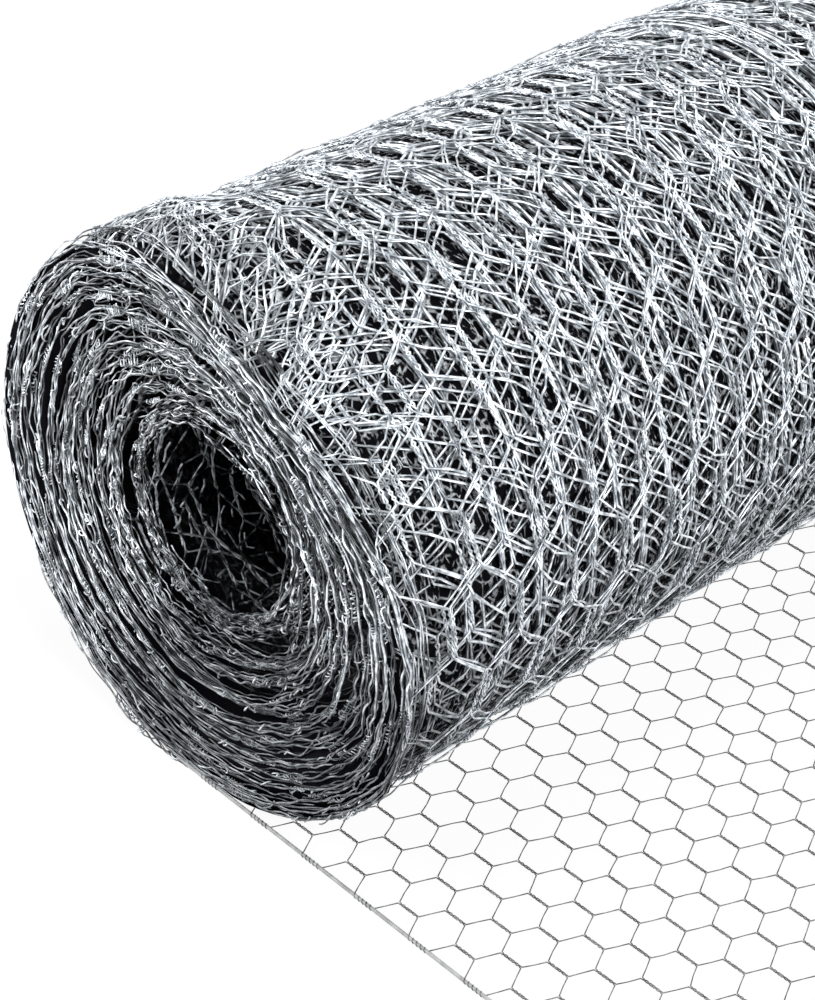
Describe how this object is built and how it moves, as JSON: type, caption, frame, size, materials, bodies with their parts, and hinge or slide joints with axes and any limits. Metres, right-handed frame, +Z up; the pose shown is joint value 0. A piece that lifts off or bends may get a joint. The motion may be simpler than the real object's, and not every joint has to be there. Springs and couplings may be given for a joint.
{
  "type": "roll of hexagonal wire netting",
  "caption": "Roll of galvanised hexagonal wire netting lying on its side, wound loosely round an open bore, with its free end paid out flat on the floor.",
  "frame": {"origin": "on the floor, under the middle of the whole object's box", "axes": "+X along the roll's bore from the near end to the far end, +Z up, and the flat netting runs out towards -Y"},
  "size_m": [0.5, 0.3048, 0.2],
  "materials": {
    "galvanised_wire": "dull galvanised zinc"
  },
  "bodies": {
    "root": {"wound_roll": "galvanised_wire", "flat_netting_inner": "galvanised_wire", "flat_netting_middle": "galvanised_wire", "flat_netting_outer": "galvanised_wire"}
  },
  "joints": []
}
